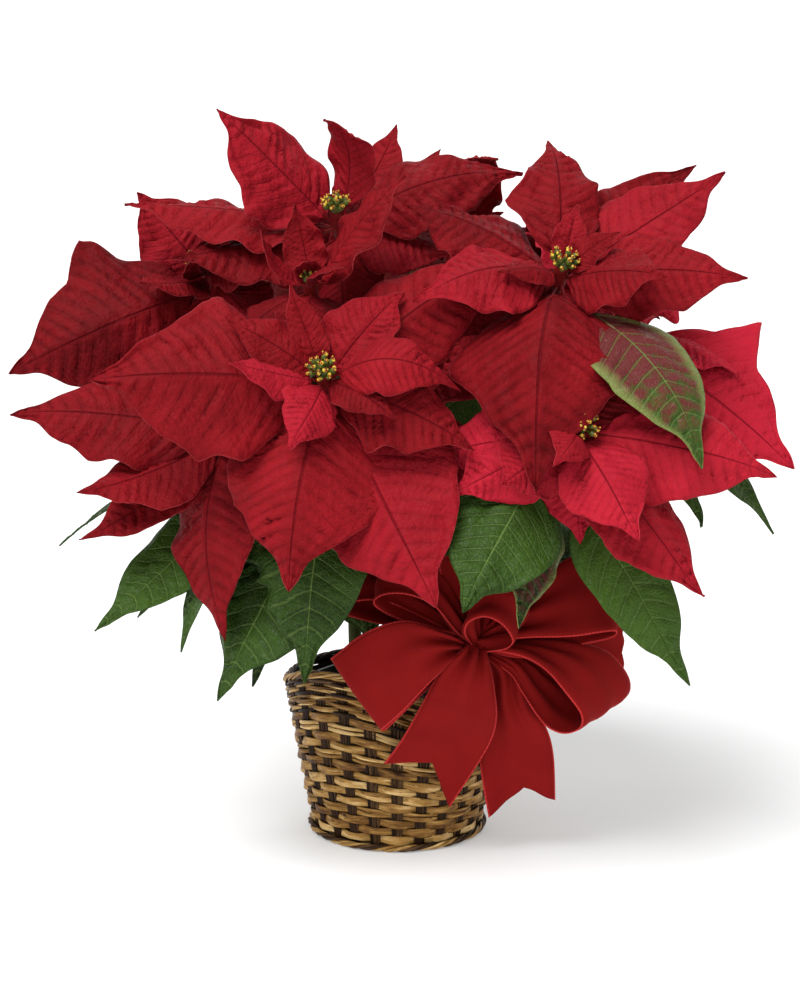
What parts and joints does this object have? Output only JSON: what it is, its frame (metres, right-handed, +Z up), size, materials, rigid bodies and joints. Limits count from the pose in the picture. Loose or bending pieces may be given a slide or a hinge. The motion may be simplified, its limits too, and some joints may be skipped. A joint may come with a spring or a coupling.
{
  "type": "potted poinsettia in a woven basket",
  "caption": "Bushy red-bracted house plant growing from a grower's pot set in a tapered woven basket, with a ribbon bow wired at the front.",
  "frame": {"origin": "centre of the basket's flat base, on the surface it stands on", "axes": "+Z up along the basket's axis, -Y towards the viewer who faces the bow"},
  "size_m": [0.5362, 0.4061, 0.5122],
  "materials": {
    "wicker": "split willow and rattan, clear-varnished, golden tan with dark brown stakes",
    "pot_plastic": "thin moulded dark green plastic",
    "soil": "moist peat-based potting mix, dark brown and crumbly",
    "leaf_and_stem": "living leaf and stem, soft satin green",
    "bract": "living bract, velvety matt crimson",
    "cyathium": "small living flower cups, green-yellow with red lips",
    "ribbon": "deep red velvet ribbon with a fine woven edge",
    "wire": "green coated florist's wire"
  },
  "bodies": {
    "root": {"basket": "wicker", "basket_rim": "wicker", "basket_foot": "wicker", "grower_pot": "pot_plastic", "soil": "soil", "left_plant": "leaf_and_stem", "right_plant": "leaf_and_stem", "rear_plant": "leaf_and_stem", "centre_left_bracts": "bract", "upper_right_bracts": "bract", "top_bracts": "bract", "lower_right_bracts": "bract", "far_left_bracts": "bract", "young_bracts": "bract", "lower_left_bracts": "bract", "far_right_bracts": "bract", "rear_left_bracts": "bract", "rear_bracts": "bract", "rear_right_bracts": "bract", "centre_left_cyathia": "cyathium", "upper_right_cyathia": "cyathium", "top_cyathia": "cyathium", "lower_right_cyathia": "cyathium", "far_left_cyathia": "cyathium", "young_cyathia": "cyathium", "lower_left_cyathia": "cyathium", "far_right_cyathia": "cyathium", "rear_left_cyathia": "cyathium", "rear_cyathia": "cyathium", "rear_right_cyathia": "cyathium", "bow": "ribbon", "bow_wire": "wire"}
  },
  "joints": []
}
